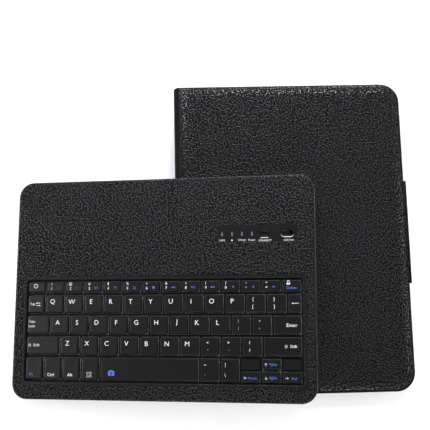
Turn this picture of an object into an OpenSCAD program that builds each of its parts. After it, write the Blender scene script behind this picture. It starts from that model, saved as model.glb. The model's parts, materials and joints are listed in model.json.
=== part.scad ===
// Tablet keyboard case: a leather folio that lies closed on a table, with its detachable
// keyboard panel taken out and leaning on the folio's spine.
// Origin: centre of the folio's back face, on the table. +Z up, the spine is on the -X side.

/* [Tablet] */
// Width of the tablet that the case holds
tablet_w = 178.5; // [145:0.5:220]
// Length of the tablet that the case holds
tablet_l = 247.6; // [205:0.2:300]
// Thickness of the tablet that the case holds
tablet_t = 6; // [5:0.1:9]

/* [Folio] */
// How far the covers reach past the tray at the free edge
free_edge_margin = 4.3; // [3.5:0.1:10]
// How far the covers reach past the tray at each end
end_margin = 1.9; // [1:0.1:6]
// Spare height at the spine when everything is inside
spine_slack = 0.8; // [0.4:0.1:3]
// Height of the front cover over the tray at the free edge while the keyboard is out
free_edge_slack = 1.1; // [1:0.1:3]
// Corner radius on the free edge
folio_corner_r = 15.5; // [8:0.5:25]

/* [Covers] */
// Outer leather thickness
leather_t = 1.1; // [0.8:0.1:1.6]
// Stiffening board thickness
board_t = 1.4; // [1:0.1:2]
// Microfibre lining thickness
lining_t = 0.5; // [0.4:0.1:0.8]
// How far the board stops short of the cover's edge
board_inset = 5; // [3:0.5:8]
// How far the lining stops short of the cover's edge
lining_inset = 1.2; // [0.6:0.1:3]
// Free fold between the spine and each cover
fold_gap = 1.1; // [0.8:0.1:2]

/* [Clasp] */
// Length of the side clasp
clasp_l = 85; // [50:1:110]
// Thickness of the clasp strap
clasp_t = 2.2; // [1.8:0.1:3]
// How far the clasp tucks in under the front cover
clasp_tuck = 3.8; // [2:0.1:4]
// Place of the clasp's middle along the folio
clasp_y = 1.5; // [-20:0.5:20]

/* [Tablet tray] */
// Wall of the tray round the tablet
tray_wall = 1.5; // [1:0.1:2]
// Floor of the tray
tray_floor = 1.2; // [1:0.1:1.4]
// Radius of the camera window
camera_r = 8; // [5:0.5:11]
// Length of the folding prop
prop_l = 85; // [60:1:90]
// Width of the folding prop
prop_w = 120; // [60:1:150]

/* [Keyboard panel] */
// How much shorter than the tablet's length the panel's width is
panel_w_clear = 0.6; // [0.2:0.1:5]
// How much shorter than the tablet's width the panel's length is
panel_l_clear = 0.5; // [0.2:0.1:5]
// Panel thickness, without the keys
panel_t = 7; // [6.8:0.1:9]
// Corner radius of the panel
panel_corner_r = 12.5; // [4:0.5:20]
// Distance of the panel's resting edge from the spine
panel_stand_off = 135.5; // [110:0.5:150]
// Distance of the panel's front corner from the middle of the spine
panel_rest_y = 126.8; // [100:0.5:135]
// Turn of the panel on the table
panel_yaw = 1.5; // [0:0.5:4]

/* [Panel shells] */
// Floor of the bottom shell
shell_floor = 1; // [0.8:0.1:1.4]
// Side wall of the shell
shell_wall = 1.6; // [1.2:0.1:2.2]
// Thickness of the plastic top deck
deck_t = 1; // [0.8:0.1:1.4]
// Thickness of the leather on the deck
deck_leather_t = 1; // [0.8:0.1:1.2]
// Battery width
battery_w = 90; // [60:1:110]
// Circuit board width
board_w = 70; // [50:1:75]

/* [Keys] */
// Free leather beside the key field
side_margin = 12; // [9:0.5:16]
// Free leather in front of the key field
front_margin = 15.9; // [14:0.1:22]
// Gap between two keys in a row
key_gap = 2.2; // [1.6:0.1:3]
// Gap between two rows
row_gap = 2.5; // [1.6:0.1:3]
// Depth of a letter key
key_h = 14.2; // [11:0.1:15]
// Depth of a number key
number_h = 8.4; // [6:0.1:10]
// Depth of the space bar and the keys beside it
space_h = 17.4; // [14:0.1:19]
// Width of the tab key
tab_w = 13.2; // [10:0.1:16]
// Width of the backspace key
backspace_w = 9.2; // [8:0.1:14]
// Width of the caps lock key
caps_w = 18.15; // [14:0.05:22]
// Width of the left shift key
shift_w = 26.9; // [20:0.1:32]
// Width of the keys to the left of the space bar
modifier_w = 13.55; // [10:0.05:15]
// Width of the keys to the right of the space bar
arrow_w = 13.95; // [10:0.05:15]
// How far the key tops stand over the leather
key_proud = 0.2; // [0:0.1:0.8]
// Thickness of a keycap
cap_t = 2.6; // [2:0.1:3]
// Distance a key can be pressed
key_travel = 1.5; // [1:0.1:1.6]

/* [Indicator field] */
// Width of the smooth field
label_w = 62.8; // [60:0.1:66]
// Depth of the smooth field
label_h = 13.4; // [12:0.1:16]
// Distance of the field from the panel's right edge
label_from_right = 14; // [10:0.5:20]
// Distance of the field's middle from the number keys
label_from_keys = 36.9; // [12:0.1:60]
// Distance between two indicator lights
led_pitch = 8; // [6:0.1:9]
// Length of the oval button
button_w = 9.4; // [8:0.1:11]
// Width of the oval button
button_h = 4.8; // [4:0.1:6]

/* [Hidden] */
letter_rows = ["qwertyuiop", "asdfghjkl", "zxcvbnm"];
$fn = 48;
body_gap = 0.3;
overshoot = 1;
leather_black = [0.1, 0.1, 0.11];
plastic_black = [0.06, 0.06, 0.07];
board_grey = [0.45, 0.42, 0.38];
lining_grey = [0.2, 0.2, 0.22];

// Tablet tray
cover_t = leather_t + board_t + lining_t;
tablet_clear = 0.3;
bay_w = tablet_w + 2 * tablet_clear;
bay_l = tablet_l + 2 * tablet_clear;
bay_corner_r = 9;
tray_w = bay_w + 2 * tray_wall;
tray_l = bay_l + 2 * tray_wall;
tray_z = cover_t + body_gap;
tray_h = tray_floor + tablet_t;
tray_top = tray_z + tray_h;
lip_t = 0.6;
lip_reach = 3;
lip_l = 24;
port_w = 16;
port_h = 4;

// Folio
folio_w = cover_t + 2 * body_gap + tray_w + free_edge_margin;
folio_l = tray_l + 2 * end_margin;
key_top = panel_t + key_proud;
spine_h = 2 * cover_t + tray_h + key_top + spine_slack;
free_edge_h = tray_top + lip_t + free_edge_slack + cover_t;
cover_w = folio_w - cover_t - fold_gap;
cover_x = -folio_w / 2 + cover_t + fold_gap;
cover_slope = asin((spine_h - free_edge_h) / folio_w);
small_corner_r = 2;

tray_x = -folio_w / 2 + cover_t + 2 * body_gap;
camera_x = tray_x + tray_w - 15;
camera_y = tray_l / 2 - 15.6;
prop_end_margin = 9.1;
prop_hinge = tray_w - prop_end_margin - prop_l;

// Clasp
clasp_x = folio_w / 2 + body_gap;
clasp_z = cover_t - body_gap;
clasp_tab_t = 0.9;
clasp_top = tray_top + body_gap + clasp_tab_t;
clasp_magnet_l = 14;
clasp_magnet_t = 1;
clasp_magnet_h = 5;
clasp_magnet_pitch = 26;

// Keyboard panel
lean_gap = 0.35;
panel_w = tablet_l - panel_w_clear;
panel_l = tablet_w - panel_l_clear;
panel_reach = panel_stand_off * cos(panel_yaw) - panel_l * sin(panel_yaw);
panel_tilt = atan((spine_h + lean_gap) / panel_reach);
deck_z = panel_t - deck_leather_t - deck_t;
field_end = panel_w - side_margin;
key_pitch = (field_end - side_margin - tab_w - key_gap - backspace_w) / 12;
key_w = key_pitch - key_gap;
key_corner_r = 1.1;
space_row_y = front_margin;
letter_row_y = [for (i = [2, 1, 0]) space_row_y + space_h + row_gap + i * (key_h + row_gap)];
letter_row_x = [for (w = [tab_w, caps_w, shift_w]) side_margin + w + key_gap];
number_row_y = letter_row_y[0] + key_h + row_gap;
number_count = 14;
number_pitch = (field_end + key_gap - side_margin) / number_count;
right_x = field_end + key_gap - 5 * (arrow_w + key_gap);
space_x = side_margin + 4 * (modifier_w + key_gap);
arrow_gap = 1.6;
arrow_h = (space_h - arrow_gap) / 2;
well_margin = 2;
well_x = side_margin - well_margin;
well_w = field_end - side_margin + 2 * well_margin;
well_y = front_margin - well_margin;
well_l = number_row_y + number_h - front_margin + 2 * well_margin;
well_corner_r = 2.5;
frame_border = 3;

// Layers under the keys
plate_t = 0.4;
membrane_t = 0.4;
dome_z = shell_floor + plate_t + membrane_t;
dome_h = 1.1;
dome_r = 2.5;
dome_hole_r = 1.3;
stem_r = 1;
stem_tip_z = dome_z + key_travel + 0.1;
frame_t = 0.8;
frame_z = 3.4;
frame_clear = 0.4;
blank_top = key_top - 0.3;

// Electronics
magnet_r = 3;
magnet_t = 1.5;
magnet_inset = 12;
magnet_front = 6.2;
inner_gap = 5;
inner_front = well_y + well_l + frame_border + inner_gap;
inner_l = panel_l - magnet_inset - magnet_r - inner_gap - inner_front;
battery_t = 3.2;
board_h = 1.2;
port_box = [5.6, 7.6, 2.6];
port_y = inner_front + inner_l / 2;
dock_plate_r = 6;
dock_plate_t = 0.8;

// Indicator field
label_t = 0.3;
label_x = panel_w - label_from_right - label_w;
label_y = number_row_y + number_h + label_from_keys;
led_w = 1;
led_h = 3;
led_t = 1;
led_count = 4;
led_x = label_x + 3.1;
button_x = label_x + 37;
slider_x = label_x + 55;
slider_nub_w = 5.6;
slider_travel = 2.8;
button_clear = 0.25;
button_proud = 0.4;
button_foot_z = 4;

// Every key's box is [left, front, width, depth] on the panel
function letter_box(row, i) =
    [letter_row_x[row] + i * key_pitch, letter_row_y[row], key_w, key_h];
number_boxes = [for (i = [0 : number_count - 1])
    [side_margin + i * number_pitch, number_row_y, number_pitch - key_gap, number_h]];
letter_boxes = [for (row = [0 : 2]) for (i = [0 : len(letter_rows[row]) - 1]) letter_box(row, i)];
punctuation_boxes = concat(
    [for (i = [10, 11]) letter_box(0, i)],
    [for (i = [9, 10]) letter_box(1, i)],
    [for (i = [7, 8, 9]) letter_box(2, i)],
    [for (i = [0, 1]) [right_x + i * (arrow_w + key_gap), space_row_y, arrow_w, space_h]]);
modifier_boxes = concat(
    [for (i = [0 : 3]) [side_margin + i * (modifier_w + key_gap), space_row_y, modifier_w, space_h]],
    [[side_margin, letter_row_y[1], caps_w, key_h],
     [side_margin, letter_row_y[2], shift_w, key_h],
     letter_box(2, 10) + [0, 0, field_end - letter_box(2, 10)[0] - key_w, 0]]);
editing_boxes = [
    [side_margin, letter_row_y[0], tab_w, key_h],
    letter_box(0, 12) + [0, 0, field_end - letter_box(0, 12)[0] - key_w, 0],
    letter_box(1, 11) + [0, 0, field_end - letter_box(1, 11)[0] - key_w, 0]];
arrow_boxes = [
    for (place = [[2, 0], [3, 0], [3, 1], [4, 0]])
        [right_x + place[0] * (arrow_w + key_gap), space_row_y + place[1] * (arrow_h + arrow_gap),
         arrow_w, arrow_h]];
blank_boxes = [
    for (i = [2, 4])
        [right_x + i * (arrow_w + key_gap), space_row_y + arrow_h + arrow_gap, arrow_w, arrow_h]];
space_box = [space_x, space_row_y, right_x - key_gap - space_x, space_h];
all_boxes = concat(number_boxes, letter_boxes, punctuation_boxes, modifier_boxes, editing_boxes,
                   arrow_boxes, [space_box]);

// A rectangle from the origin with round corners
module round_rect(w, l, r) {
    translate([r, 0]) square([w - 2 * r, l]);
    translate([0, r]) square([w, l - 2 * r]);
    for (x = [r, w - r], y = [r, l - r]) translate([x, y]) circle(r);
}

module round_plate(w, l, t, r) {
    linear_extrude(t) round_rect(w, l, r);
}

// Outline of one cover: square at the fold, round at the free edge, inset all round
module cover_outline(inset) {
    r = folio_corner_r - inset;
    w = cover_w - 2 * inset;
    l = folio_l - 2 * inset;
    translate([inset, -l / 2]) {
        square([w - r, l]);
        translate([0, r]) square([w, l - 2 * r]);
        for (y = [r, l - r]) translate([w - r, y]) circle(r);
    }
}

module cover_layer(inset, z, t) {
    translate([0, 0, z]) linear_extrude(t) cover_outline(inset);
}

module camera_hole(r) {
    translate([camera_x, camera_y, -overshoot]) cylinder(r = r, h = tray_top);
}

// Back cover, spine and front cover
module back_cover_leather() {
    color(leather_black) difference() {
        translate([cover_x, 0, 0]) cover_layer(0, 0, leather_t);
        camera_hole(camera_r);
    }
}

module back_cover_board() {
    color(board_grey) difference() {
        translate([cover_x, 0, 0]) cover_layer(board_inset, leather_t, board_t);
        camera_hole(camera_r + lining_inset);
    }
}

module back_cover_lining() {
    color(lining_grey) difference() {
        translate([cover_x, 0, 0]) cover_layer(lining_inset, leather_t + board_t, lining_t);
        camera_hole(camera_r);
    }
}

module spine_leather() {
    color(leather_black) translate([-folio_w / 2, -folio_l / 2, body_gap / 2]) difference() {
        cube([cover_t, folio_l, spine_h - body_gap]);
        translate([leather_t, board_inset, board_inset / 2])
            cube([board_t, folio_l - 2 * board_inset, spine_h - body_gap - board_inset]);
    }
}

module spine_board() {
    color(board_grey)
        translate([-folio_w / 2 + leather_t, -folio_l / 2 + board_inset, (body_gap + board_inset) / 2])
            cube([board_t, folio_l - 2 * board_inset, spine_h - body_gap - board_inset]);
}

// Puts a cover that is drawn flat, with its outer face at z = 0, on the spine's upper fold
module front_cover_place() {
    translate([-folio_w / 2, 0, spine_h]) rotate([0, cover_slope, 0])
        translate([cover_t + fold_gap, 0, 0]) children();
}

module dock_plate_places() {
    middle = cover_w / 2;
    for (x = [panel_l / 2 - magnet_inset, magnet_front - panel_l / 2],
         y = [magnet_inset - panel_w / 2, panel_w / 2 - magnet_inset])
        translate([middle + x, y, -leather_t - dock_plate_t]) children();
}

module front_cover_leather() {
    color(leather_black) front_cover_place() cover_layer(0, -leather_t, leather_t);
}

module front_cover_board() {
    color(board_grey) front_cover_place() difference() {
        cover_layer(board_inset, -leather_t - board_t, board_t);
        dock_plate_places() cylinder(r = dock_plate_r, h = dock_plate_t + overshoot);
    }
}

module dock_plates() {
    color("silver") front_cover_place() dock_plate_places() cylinder(r = dock_plate_r, h = dock_plate_t);
}

module front_cover_lining() {
    color(lining_grey) front_cover_place() cover_layer(lining_inset, -cover_t, lining_t);
}

// Side clasp: stands up from the back cover's edge and tucks in under the front cover
module clasp_magnet_places() {
    for (i = [-1 : 1])
        translate([clasp_x + (clasp_t - clasp_magnet_t) / 2,
                   clasp_y - clasp_magnet_l / 2 + i * clasp_magnet_pitch, clasp_z + 1])
            cube([clasp_magnet_t, clasp_magnet_l, clasp_magnet_h]);
}

module clasp_strap() {
    color(leather_black) difference() {
        translate([clasp_x, clasp_y - clasp_l / 2, clasp_z]) {
            cube([clasp_t, clasp_l, clasp_top - clasp_z]);
            translate([-clasp_tuck, 0, clasp_top - clasp_z - clasp_tab_t])
                cube([clasp_tuck + overshoot, clasp_l, clasp_tab_t]);
        }
        clasp_magnet_places();
    }
}

module clasp_magnets() {
    color("silver") clasp_magnet_places();
}

// Tray that grips the tablet, and the prop that folds out of its floor
module tablet_tray() {
    color(plastic_black) translate([tray_x, -tray_l / 2, tray_z]) {
        difference() {
            round_plate(tray_w, tray_l, tray_h, bay_corner_r + tray_wall);
            translate([tray_wall, tray_wall, tray_floor])
                round_plate(bay_w, bay_l, tray_h, bay_corner_r);
            translate([prop_hinge - body_gap, tray_l / 2 - prop_w / 2 - body_gap, -overshoot])
                cube([prop_l + 2 * body_gap, prop_w + 2 * body_gap, tray_floor + 2 * overshoot]);
            translate([tray_w / 2 - port_w / 2, -overshoot, tray_floor + overshoot])
                cube([port_w, tray_wall + 2 * overshoot, port_h]);
            translate([camera_x - tray_x, camera_y + tray_l / 2, -overshoot])
                cylinder(r = camera_r, h = tray_floor + 2 * overshoot);
        }
        for (x = [0, 1], y = [0, 1])
            translate([x * tray_w, y * tray_l, tray_h]) mirror([x, 0, 0]) mirror([0, y, 0]) corner_lip();
    }
}

// Thin lip over one corner of the tablet, drawn at the corner with the lowest x and y
module corner_lip() {
    outer_r = bay_corner_r + tray_wall;
    difference() {
        linear_extrude(lip_t) intersection() {
            round_rect(tray_w, tray_l, outer_r);
            square(lip_l);
        }
        translate([tray_wall + lip_reach, tray_wall + lip_reach, -overshoot])
            round_plate(tray_w, tray_l, lip_t + 2 * overshoot, bay_corner_r);
    }
}

module kickstand() {
    color(leather_black) translate([tray_x + prop_hinge + body_gap, -prop_w / 2, tray_z])
        cube([prop_l - body_gap, prop_w, tray_floor]);
}

// Places what is drawn flat, with the panel's front left corner at the origin, as it leans
module on_panel() {
    translate([-folio_w / 2 - panel_stand_off, -panel_rest_y, 0]) rotate([0, 0, -panel_yaw]) rotate([0, -panel_tilt, 0])
        children();
}

// Keyboard shells
module keyboard_bottom_shell() {
    color(plastic_black) on_panel() difference() {
        round_plate(panel_w, panel_l, deck_z, panel_corner_r);
        translate([shell_wall, shell_wall, shell_floor])
            round_plate(panel_w - 2 * shell_wall, panel_l - 2 * shell_wall, panel_t,
                        panel_corner_r - shell_wall);
        translate([panel_w - 2 * shell_wall, port_y - port_box[1] / 2, shell_floor + board_h])
            cube([3 * shell_wall, port_box[1], port_box[2]]);
    }
}

module oval(w, h) {
    r = h / 2;
    for (x = [r - w / 2, w / 2 - r]) translate([x, 0]) circle(r);
    translate([r - w / 2, -r]) square([w - h, h]);
}

module control_cutouts() {
    for (i = [0 : led_count - 1])
        translate([led_x + i * led_pitch - led_w / 2, label_y - led_h / 2]) square([led_w, led_h]);
    for (x = [button_x, slider_x])
        translate([x, label_y]) oval(button_w + 2 * button_clear, button_h + 2 * button_clear);
}

module panel_outline_with_well() {
    difference() {
        round_rect(panel_w, panel_l, panel_corner_r);
        translate([well_x, well_y]) round_rect(well_w, well_l, well_corner_r);
    }
}

module keyboard_top_deck() {
    color(plastic_black) on_panel() translate([0, 0, deck_z]) linear_extrude(deck_t) difference() {
        panel_outline_with_well();
        control_cutouts();
    }
}

module deck_leather() {
    color(leather_black) on_panel() translate([0, 0, deck_z + deck_t]) difference() {
        linear_extrude(deck_leather_t) difference() {
            panel_outline_with_well();
            control_cutouts();
        }
        translate([label_x, label_y - label_h / 2, deck_leather_t - label_t])
            round_plate(label_w, label_h, label_t + overshoot, small_corner_r);
    }
}

module indicator_label() {
    color([0.13, 0.13, 0.14]) on_panel() translate([0, 0, panel_t - label_t]) linear_extrude(label_t)
        difference() {
            translate([label_x, label_y - label_h / 2]) round_rect(label_w, label_h, small_corner_r);
            control_cutouts();
        }
}

module led_lenses() {
    color("white") on_panel()
        for (i = [0 : led_count - 1])
            translate([led_x + i * led_pitch - led_w / 2, label_y - led_h / 2, panel_t - led_t])
                cube([led_w, led_h, led_t]);
}

module connect_button() {
    color(plastic_black) on_panel() translate([button_x, label_y, button_foot_z])
        linear_extrude(panel_t + button_proud - button_foot_z) oval(button_w, button_h);
}

module power_slider() {
    color(plastic_black) on_panel()
        translate([slider_x - slider_travel / 2, label_y, button_foot_z])
            linear_extrude(panel_t + button_proud - button_foot_z) oval(slider_nub_w + 1, button_h);
}

// Electronics inside the panel
module main_board() {
    color("darkgreen") on_panel()
        translate([panel_w - shell_wall - board_w, inner_front, shell_floor])
            cube([board_w, inner_l, board_h]);
}

module battery() {
    color("silver") on_panel()
        translate([magnet_inset, inner_front, shell_floor]) cube([battery_w, inner_l, battery_t]);
}

module usb_port() {
    color("silver") on_panel()
        translate([panel_w - port_box[0], port_y - port_box[1] / 2, shell_floor + board_h]) difference() {
            cube(port_box);
            translate([overshoot, plate_t, plate_t])
                cube([port_box[0], port_box[1] - 2 * plate_t, port_box[2] - 2 * plate_t]);
        }
}

module keyboard_magnets() {
    color("silver") on_panel()
        for (x = [magnet_inset, panel_w - magnet_inset], y = [magnet_front, panel_l - magnet_inset])
            translate([x, y, shell_floor]) cylinder(r = magnet_r, h = magnet_t);
}

// Layers under the keys
module under_key_sheet(z, t) {
    on_panel() translate([well_x - frame_border, well_y - frame_border, z])
        cube([well_w + 2 * frame_border, well_l + 2 * frame_border, t]);
}

module key_support_plate() {
    color("silver") under_key_sheet(shell_floor, plate_t);
}

module membrane() {
    color("gainsboro") under_key_sheet(shell_floor + plate_t, membrane_t);
}

module rubber_domes() {
    color("gray") on_panel()
        for (box = all_boxes)
            translate([box[0] + box[2] / 2, box[1] + box[3] / 2, dome_z]) difference() {
                cylinder(r = dome_r, h = dome_h);
                translate([0, 0, -overshoot]) cylinder(r = dome_hole_r, h = dome_h + 2 * overshoot);
            }
}

// Frame that guides the keys, with a raised border under the deck and two blanks by the arrows
module key_frame() {
    outer_w = well_w + 2 * frame_border;
    outer_l = well_l + 2 * frame_border;
    color(plastic_black) on_panel() {
        difference() {
            translate([well_x - frame_border, well_y - frame_border, dome_z])
                cube([outer_w, outer_l, deck_z - dome_z]);
            translate([well_x, well_y, dome_z - overshoot]) cube([well_w, well_l, deck_z]);
        }
        translate([0, 0, frame_z]) linear_extrude(frame_t) difference() {
            translate([well_x, well_y]) square([well_w, well_l]);
            for (box = all_boxes)
                translate([box[0] - frame_clear, box[1] - frame_clear])
                    square([box[2] + 2 * frame_clear, box[3] + 2 * frame_clear]);
        }
        for (box = blank_boxes)
            translate([box[0], box[1], frame_z + frame_t])
                round_plate(box[2], box[3], blank_top - frame_z - frame_t, key_corner_r);
    }
}

// Keycaps with the stem that presses the dome
module keycap(box) {
    translate([box[0], box[1], key_top - cap_t]) round_plate(box[2], box[3], cap_t, key_corner_r);
    translate([box[0] + box[2] / 2, box[1] + box[3] / 2, stem_tip_z])
        cylinder(r = stem_r, h = key_top - stem_tip_z - overshoot);
}

module key_group(boxes) {
    color(plastic_black) on_panel() for (box = boxes) keycap(box);
}

module space_bar() { key_group([space_box]); }
module number_keys() { key_group(number_boxes); }
module punctuation_keys() { key_group(punctuation_boxes); }
module modifier_keys() { key_group(modifier_boxes); }
module editing_keys() { key_group(editing_boxes); }
module arrow_keys() { key_group(arrow_boxes); }
module letter_key(row, i) { key_group([letter_box(row, i)]); }

back_cover_leather();
back_cover_board();
back_cover_lining();
spine_leather();
spine_board();
front_cover_leather();
front_cover_board();
front_cover_lining();
dock_plates();
clasp_strap();
clasp_magnets();
tablet_tray();
kickstand();
keyboard_bottom_shell();
keyboard_top_deck();
deck_leather();
indicator_label();
led_lenses();
connect_button();
power_slider();
main_board();
battery();
usb_port();
keyboard_magnets();
key_support_plate();
membrane();
rubber_domes();
key_frame();
space_bar();
number_keys();
punctuation_keys();
modifier_keys();
editing_keys();
arrow_keys();
for (row = [0 : 2])
    for (i = [0 : len(letter_rows[row]) - 1])
        letter_key(row, i);
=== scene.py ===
import json
import math
import bmesh
import bpy
from mathutils import Matrix, Vector


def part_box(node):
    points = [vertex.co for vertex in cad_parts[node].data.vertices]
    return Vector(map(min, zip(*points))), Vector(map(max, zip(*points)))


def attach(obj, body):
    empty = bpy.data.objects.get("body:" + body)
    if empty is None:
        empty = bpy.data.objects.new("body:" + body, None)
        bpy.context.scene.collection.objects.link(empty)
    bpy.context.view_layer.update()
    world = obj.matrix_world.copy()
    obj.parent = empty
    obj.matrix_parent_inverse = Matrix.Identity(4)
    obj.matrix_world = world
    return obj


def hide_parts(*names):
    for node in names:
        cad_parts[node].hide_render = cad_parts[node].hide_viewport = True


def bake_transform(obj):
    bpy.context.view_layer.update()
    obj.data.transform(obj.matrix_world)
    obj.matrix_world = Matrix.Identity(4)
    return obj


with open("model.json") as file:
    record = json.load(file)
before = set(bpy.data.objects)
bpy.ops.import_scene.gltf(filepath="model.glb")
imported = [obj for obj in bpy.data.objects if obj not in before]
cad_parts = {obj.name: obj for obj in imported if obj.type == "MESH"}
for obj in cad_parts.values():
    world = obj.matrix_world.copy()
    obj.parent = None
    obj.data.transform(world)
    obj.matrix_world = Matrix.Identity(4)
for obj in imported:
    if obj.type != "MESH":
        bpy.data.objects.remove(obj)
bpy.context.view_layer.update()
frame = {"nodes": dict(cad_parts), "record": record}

mm = 0.001
near = 0.01 * mm     # distances below this count as none
parallel = 0.99      # a share of a direction above this counts as all of it
nodes = frame["nodes"]
joints = {joint["name"]: joint for joint in frame["record"]["behaviour"]["joints"]}


# working in edit mode
def deselect():
    if bpy.context.object and bpy.context.object.mode != "OBJECT":
        bpy.ops.object.mode_set(mode="OBJECT")
    bpy.ops.object.select_all(action="DESELECT")


def activate(obj):
    deselect()
    obj.select_set(True)
    bpy.context.view_layer.objects.active = obj


def startEdit(obj):
    activate(obj)
    bpy.ops.object.mode_set(mode="EDIT")
    bpy.ops.mesh.select_all(action="DESELECT")


def endEdit():
    bpy.ops.object.mode_set(mode="OBJECT")


# selects the vertices, edges or faces of the object in edit mode that pass the test
def pick(obj, kind, test):
    bpy.ops.mesh.select_mode(type=kind)
    bpy.ops.mesh.select_all(action="DESELECT")
    mesh = bmesh.from_edit_mesh(obj.data)
    parts = {"VERT": mesh.verts, "EDGE": mesh.edges, "FACE": mesh.faces}[kind]
    for part in parts:
        if test(part):
            part.select_set(True)
    mesh.select_flush_mode()
    bmesh.update_edit_mesh(obj.data)


def edgeMiddle(edge):
    return (edge.verts[0].co + edge.verts[1].co) / 2


def edgeWay(edge):
    return (edge.verts[0].co - edge.verts[1].co).normalized()


def facesUp(face):
    return face.normal.z > parallel


def applyPlace():
    bpy.ops.object.transform_apply(location=True, rotation=True, scale=True)


# a box between two corners, ready to be shaped
def addBlock(name, lo, hi):
    deselect()
    middle = (Vector(lo) + Vector(hi)) / 2
    bpy.ops.mesh.primitive_cube_add(size=1, location=middle, scale=Vector(hi) - Vector(lo))
    applyPlace()
    obj = bpy.context.object
    obj.name = name
    return obj


# rounds the upright edges that pass the test
def roundUprights(obj, radius, segments, test=lambda edge: True):
    startEdit(obj)
    pick(obj, "EDGE", lambda edge: abs(edgeWay(edge).z) > parallel and test(edge))
    bpy.ops.mesh.bevel(offset=radius, segments=segments, affect="EDGES", clamp_overlap=False)
    endEdit()


def roundBlock(name, lo, hi, radius, segments):
    obj = addBlock(name, lo, hi)
    roundUprights(obj, radius, segments)
    return obj


# the corners of a box grown sideways by a margin, from one height to another
def grown(lo, hi, margin, low, high):
    return (lo.x - margin, lo.y - margin, low), (hi.x + margin, hi.y + margin, high)


def spanOf(points):
    return (Vector([min(point[i] for point in points) for i in range(3)]),
            Vector([max(point[i] for point in points) for i in range(3)]))


# the index and the span of the largest face that looks up, or down when sign is -1
def largestFlat(obj, sign=1):
    mesh = bmesh.from_edit_mesh(obj.data)
    flat = max((face for face in mesh.faces if face.normal.z * sign > parallel),
               key=lambda face: face.calc_area())
    return flat.index, spanOf([vertex.co for vertex in flat.verts])


# insets the largest face that looks up or down, step by step; each step is (inwards, along its normal)
def insetSteps(obj, steps, up=True):
    startEdit(obj)
    biggest = largestFlat(obj, 1 if up else -1)[0]
    pick(obj, "FACE", lambda face: face.index == biggest)
    for inwards, along in steps:
        bpy.ops.mesh.inset(thickness=inwards, depth=along, use_even_offset=True)
    endEdit()


# rings inside the largest face that looks up, each made by scaling; each step is (inwards, down)
def scaledRings(obj, steps):
    startEdit(obj)
    index, (lo, hi) = largestFlat(obj)
    middle = ((lo.x + hi.x) / 2, (lo.y + hi.y) / 2, hi.z)
    width, depth = hi.x - lo.x, hi.y - lo.y
    pick(obj, "FACE", lambda face: face.index == index)
    for inwards, down in steps:
        bpy.ops.mesh.inset(thickness=0.002 * mm)
        factors = (width - 2 * inwards) / width, (depth - 2 * inwards) / depth, 1
        bpy.ops.transform.resize(value=factors, center_override=middle)
        bpy.ops.transform.translate(value=(0, 0, -down))
        width, depth = width - 2 * inwards, depth - 2 * inwards
    endEdit()


# steps of a quarter-round edge of the given radius, going inwards and up
def rollSteps(radius, count):
    turn = math.pi / 2 / count
    return [(radius * (math.cos(i * turn) - math.cos((i + 1) * turn)),
             radius * (math.sin((i + 1) * turn) - math.sin(i * turn))) for i in range(count)]


# steps of a padded slope, steep at its foot and level at its top
def slopeSteps(width, height, count):
    rise = [height * (1 - (1 - i / count) ** 2.1) for i in range(count + 1)]
    return [(width / count, rise[i + 1] - rise[i]) for i in range(count)]


def bevelEdges(obj, width, segments, test):
    startEdit(obj)
    pick(obj, "EDGE", test)
    bpy.ops.mesh.bevel(offset=width, segments=segments, affect="EDGES", clamp_overlap=True)
    endEdit()


def setAll(thing, settings):
    for key, value in settings.items():
        setattr(thing, key, value)


def applyModifier(obj, kind, **settings):
    modifier = obj.modifiers.new("shaping", kind)
    setAll(modifier, settings)
    activate(obj)
    bpy.ops.object.modifier_apply(modifier=modifier.name)


def cutAway(obj, cutter):
    applyModifier(obj, "BOOLEAN", operation="DIFFERENCE", solver="EXACT", object=cutter)
    bpy.data.objects.remove(cutter, do_unlink=True)


def copyOf(source):
    copy = source.copy()
    copy.data = source.data.copy()
    bpy.context.collection.objects.link(copy)
    return copy


def joinAll(name, objects):
    deselect()
    for obj in objects:
        obj.select_set(True)
    bpy.context.view_layer.objects.active = objects[0]
    if len(objects) > 1:
        bpy.ops.object.join()
    joined = bpy.context.object
    joined.name = name
    return joined


def mergeDoubles(threshold=1e-6):
    bpy.ops.mesh.select_all(action="SELECT")
    bpy.ops.mesh.remove_doubles(threshold=threshold)


# merges doubles, turns the faces outwards and shades smooth up to the given angle
def tidyMesh(obj, angle=35):
    startEdit(obj)
    mergeDoubles()
    bpy.ops.mesh.normals_make_consistent(inside=False)
    endEdit()
    activate(obj)
    bpy.ops.object.shade_smooth_by_angle(angle=math.radians(angle))


# puts a piece that was modelled flat into its place, and leaves the place in its mesh
def settle(obj, place):
    activate(obj)
    obj.matrix_world = place @ obj.matrix_world
    bpy.context.view_layer.update()
    applyPlace()


def paint(obj, finish):
    obj.data.materials.clear()
    obj.data.materials.append(finish)


def finishPiece(obj, body, finish, slotName, *replaced):
    if finish is not None:
        paint(obj, finish)
    if replaced:
        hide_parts(*replaced)
    if body:
        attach(obj, body)


# where the panel and the front cover lie
def nodeSpan(name, place):
    inverse = place.inverted()
    return spanOf([inverse @ vertex.co for vertex in nodes[name].data.vertices])


def vectors(corners):
    return [Vector(corner) for corner in corners]


def placeFrom(along, back, up, origin):
    place = Matrix((along, back, up)).transposed().to_4x4()
    place.translation = origin
    return place


panelUp = -Vector(joints["connect_press"]["axis"]).normalized()
panelAlong = Vector(joints["power_slide"]["axis"]).normalized()
panelBack = panelUp.cross(panelAlong).normalized()
panelTurn = placeFrom(panelAlong, panelBack, panelUp, Vector((0, 0, 0)))
panelCorner, panelFar = nodeSpan("keyboard_bottom_shell", panelTurn)
panelPlace = placeFrom(panelAlong, panelBack, panelUp, panelTurn @ panelCorner)
panelSize = panelFar - panelCorner

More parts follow.
